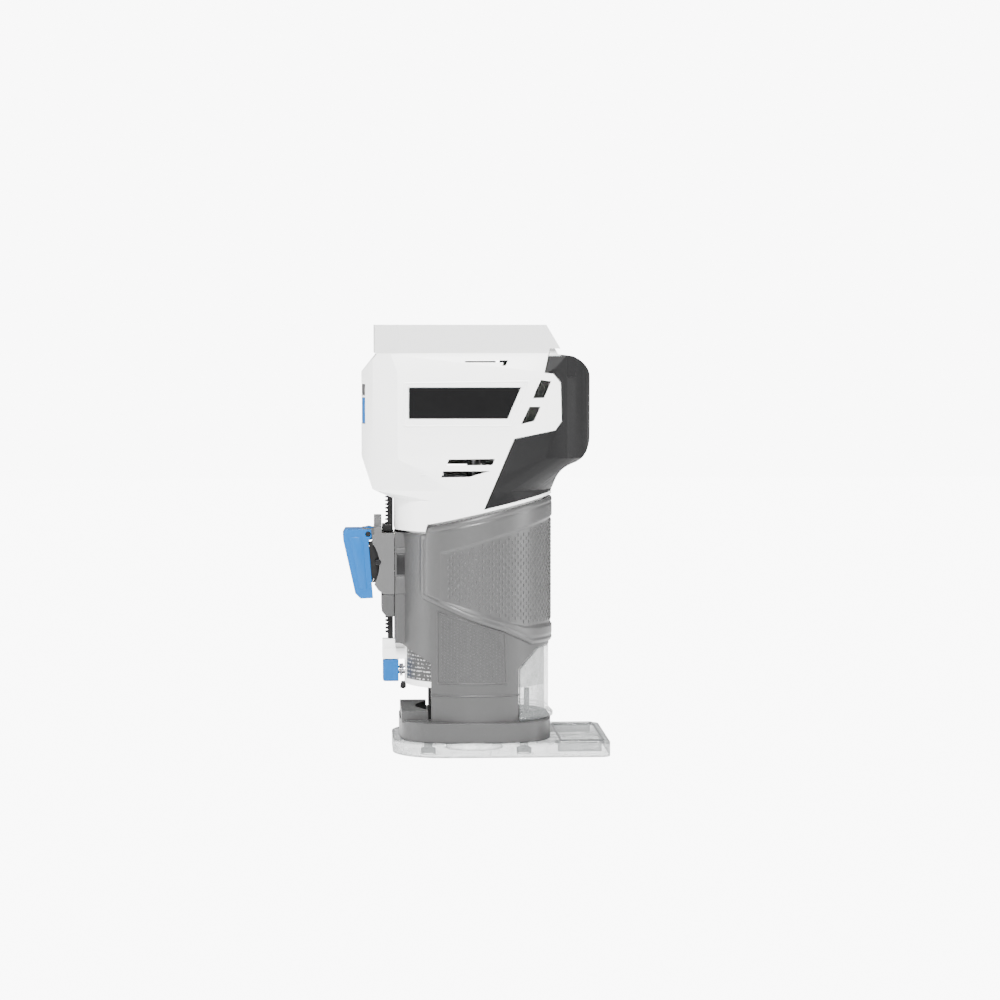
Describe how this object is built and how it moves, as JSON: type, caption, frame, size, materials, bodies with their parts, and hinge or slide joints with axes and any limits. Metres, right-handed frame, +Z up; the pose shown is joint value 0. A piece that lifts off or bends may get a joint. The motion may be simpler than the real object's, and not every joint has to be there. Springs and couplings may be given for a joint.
{
  "type": "trim router",
  "caption": "Cordless trim router: motor unit sliding in a clamping base with rack and thumbwheel depth setting, lock lever, clear sub-base.",
  "frame": {"origin": "middle of the bounding box's underside, which is on the spindle's axis", "axes": "+Z up along the spindle, +X towards the long end of the sub-base, controls face -X"},
  "size_m": [0.1468, 0.09, 0.237],
  "materials": {
    "shell_white": "fine matt texture",
    "rubber_black": "soft matt",
    "casting_grey": "satin powder coat",
    "grip_grey": "soft matt, textured",
    "light_grey": "satin",
    "control_blue": "satin gloss",
    "part_black": "satin",
    "clear_plastic": "polished",
    "steel": "machined",
    "copper": "drawn",
    "board_green": "solder mask"
  },
  "bodies": {
    "base": {"base_casting": "casting_grey", "base_grip": "grip_grey", "sub_base": "clear_plastic", "sub_base_screw_1": "steel", "sub_base_screw_2": "steel", "sub_base_screw_3": "steel", "sub_base_screw_4": "steel", "chip_shield": "clear_plastic", "chip_shield_catch": "casting_grey", "adjuster_bracket": "light_grey", "rack_steady_near": "casting_grey", "rack_steady_far": "casting_grey", "rack_bush": "part_black", "thumbwheel_pin": "steel", "lever_pin": "steel"},
    "thumbwheel": {"depth_thumbwheel": "part_black"},
    "lever": {"clamp_lever": "control_blue"},
    "shoe": {"clamp_shoe": "steel"},
    "on_button": {"on_button": "control_blue"},
    "off_button": {"off_button": "light_grey"},
    "spindle_lock": {"lock_button": "control_blue", "lock_pin": "steel", "lock_spring": "steel"},
    "spindle": {"spindle_shaft": "steel", "armature_core": "steel", "winding_lower": "copper", "winding_upper": "copper", "commutator": "copper", "cooling_fan": "part_black", "collet": "steel", "collet_nut": "steel"},
    "motor_unit": {"housing_near": "shell_white", "housing_far": "shell_white", "motor_sleeve": "shell_white", "switch_bezel": "shell_white", "rubber_grip": "rubber_black", "lower_bearing_plate": "casting_grey", "upper_bearing_plate": "casting_grey", "depth_rack": "part_black", "badge_near": "part_black", "badge_far": "part_black", "dock_rail_near": "part_black", "dock_rail_far": "part_black", "terminal_block": "part_black", "switch_body": "part_black", "brush_holder_front": "part_black", "brush_holder_rear": "part_black", "brush_front": "part_black", "brush_rear": "part_black", "lamp_lens": "clear_plastic", "magnet_near": "steel", "magnet_far": "steel", "lower_bearing": "steel", "upper_bearing": "steel", "terminal_blade_1": "copper", "terminal_blade_2": "copper", "terminal_blade_3": "copper", "control_board": "board_green"}
  },
  "joints": [
    {"name": "depth_slide", "type": "slide", "parent": "base", "child": "motor_unit", "axis": [0, 0, 1], "range_m": [0, 0.034]},
    {"name": "thumbwheel_turn", "type": "hinge", "parent": "base", "child": "thumbwheel", "pos_m": [-0.05378, 0, 0.1054], "axis": [0, 1, 0], "range_deg": [-417.33, 1]},
    {"name": "lever_swing", "type": "hinge", "parent": "base", "child": "lever", "pos_m": [-0.0594, 0, 0.1209], "axis": [0, 1, 0], "range_deg": [0, 90]},
    {"name": "shoe_slide", "type": "slide", "parent": "base", "child": "shoe", "axis": [-1, 0, 0], "range_m": [0, 0.0005]},
    {"name": "on_button_press", "type": "slide", "parent": "motor_unit", "child": "on_button", "axis": [1, 0, 0], "range_m": [0, 0.0015], "stiffness_N_per_m": 800},
    {"name": "off_button_press", "type": "slide", "parent": "motor_unit", "child": "off_button", "axis": [1, 0, 0], "range_m": [0, 0.0015], "stiffness_N_per_m": 800},
    {"name": "spindle_lock_press", "type": "slide", "parent": "motor_unit", "child": "spindle_lock", "axis": [1, 0, 0], "range_m": [0, 0.0025], "stiffness_N_per_m": 900, "deforming": ["lock_spring"]},
    {"name": "spindle_spin", "type": "hinge", "parent": "motor_unit", "child": "spindle", "pos_m": [0, 0, 0.044], "axis": [0, 0, 1], "continuous": true}
  ],
  "couplings": [
    {"joint": "thumbwheel_turn", "follows": "depth_slide", "rad_per_m": -213.71},
    {"joint": "shoe_slide", "follows": "lever_swing", "m_per_rad": 0.0003183}
  ]
}
